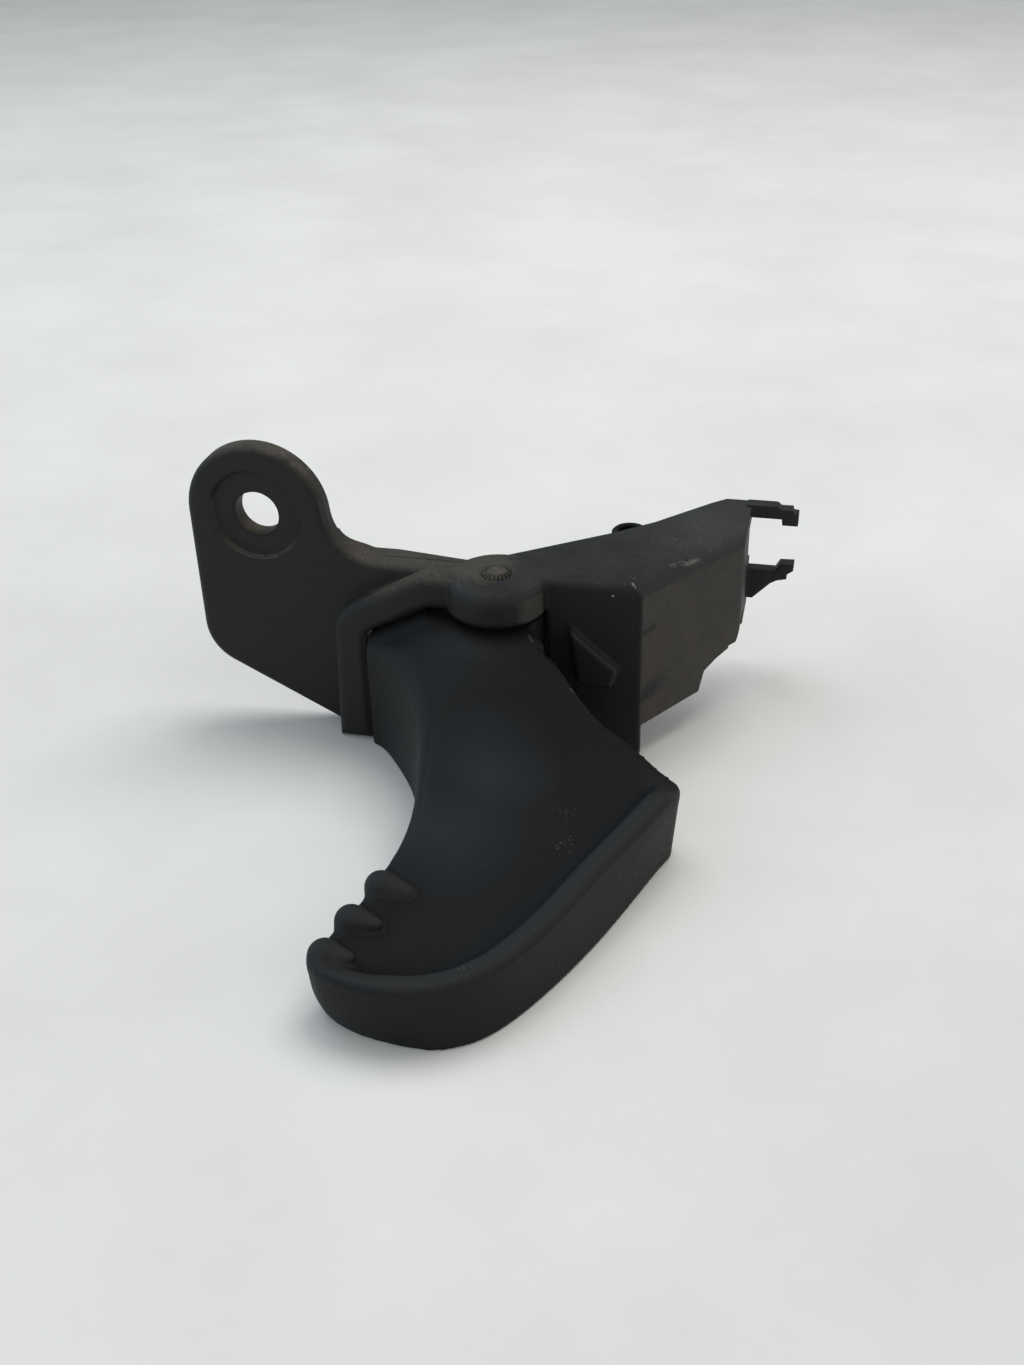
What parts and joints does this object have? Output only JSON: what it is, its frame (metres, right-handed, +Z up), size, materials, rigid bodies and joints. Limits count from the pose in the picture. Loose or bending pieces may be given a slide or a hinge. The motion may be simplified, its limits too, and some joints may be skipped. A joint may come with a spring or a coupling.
{
  "type": "hood release handle",
  "caption": "Hood release handle: bracket with a bolt ear and cable box, and a curved pull lever with a rolled lip that turns on a vertical pin",
  "frame": {"origin": "centre of the ear's bolt hole at the plate's back face", "axes": "+X along the front plate from the ear to the cable box, +Y back through the plate, +Z up along the pivot pin"},
  "size_m": [0.1206, 0.1347, 0.0628],
  "materials": {
    "bracket_moulding": "fine texture, dusty",
    "lever_moulding": "satin, lightly worn",
    "pin_steel": "dull, splined end"
  },
  "bodies": {
    "frame": {"bracket": "bracket_moulding", "pivot_pin": "pin_steel"},
    "lever": {"lever": "lever_moulding"}
  },
  "joints": [
    {"name": "lever_pull", "type": "hinge", "parent": "frame", "child": "lever", "pos_m": [0.0494, -0.0046, -0.0285], "axis": [0, 0, 1], "range_deg": [0, 35]}
  ]
}
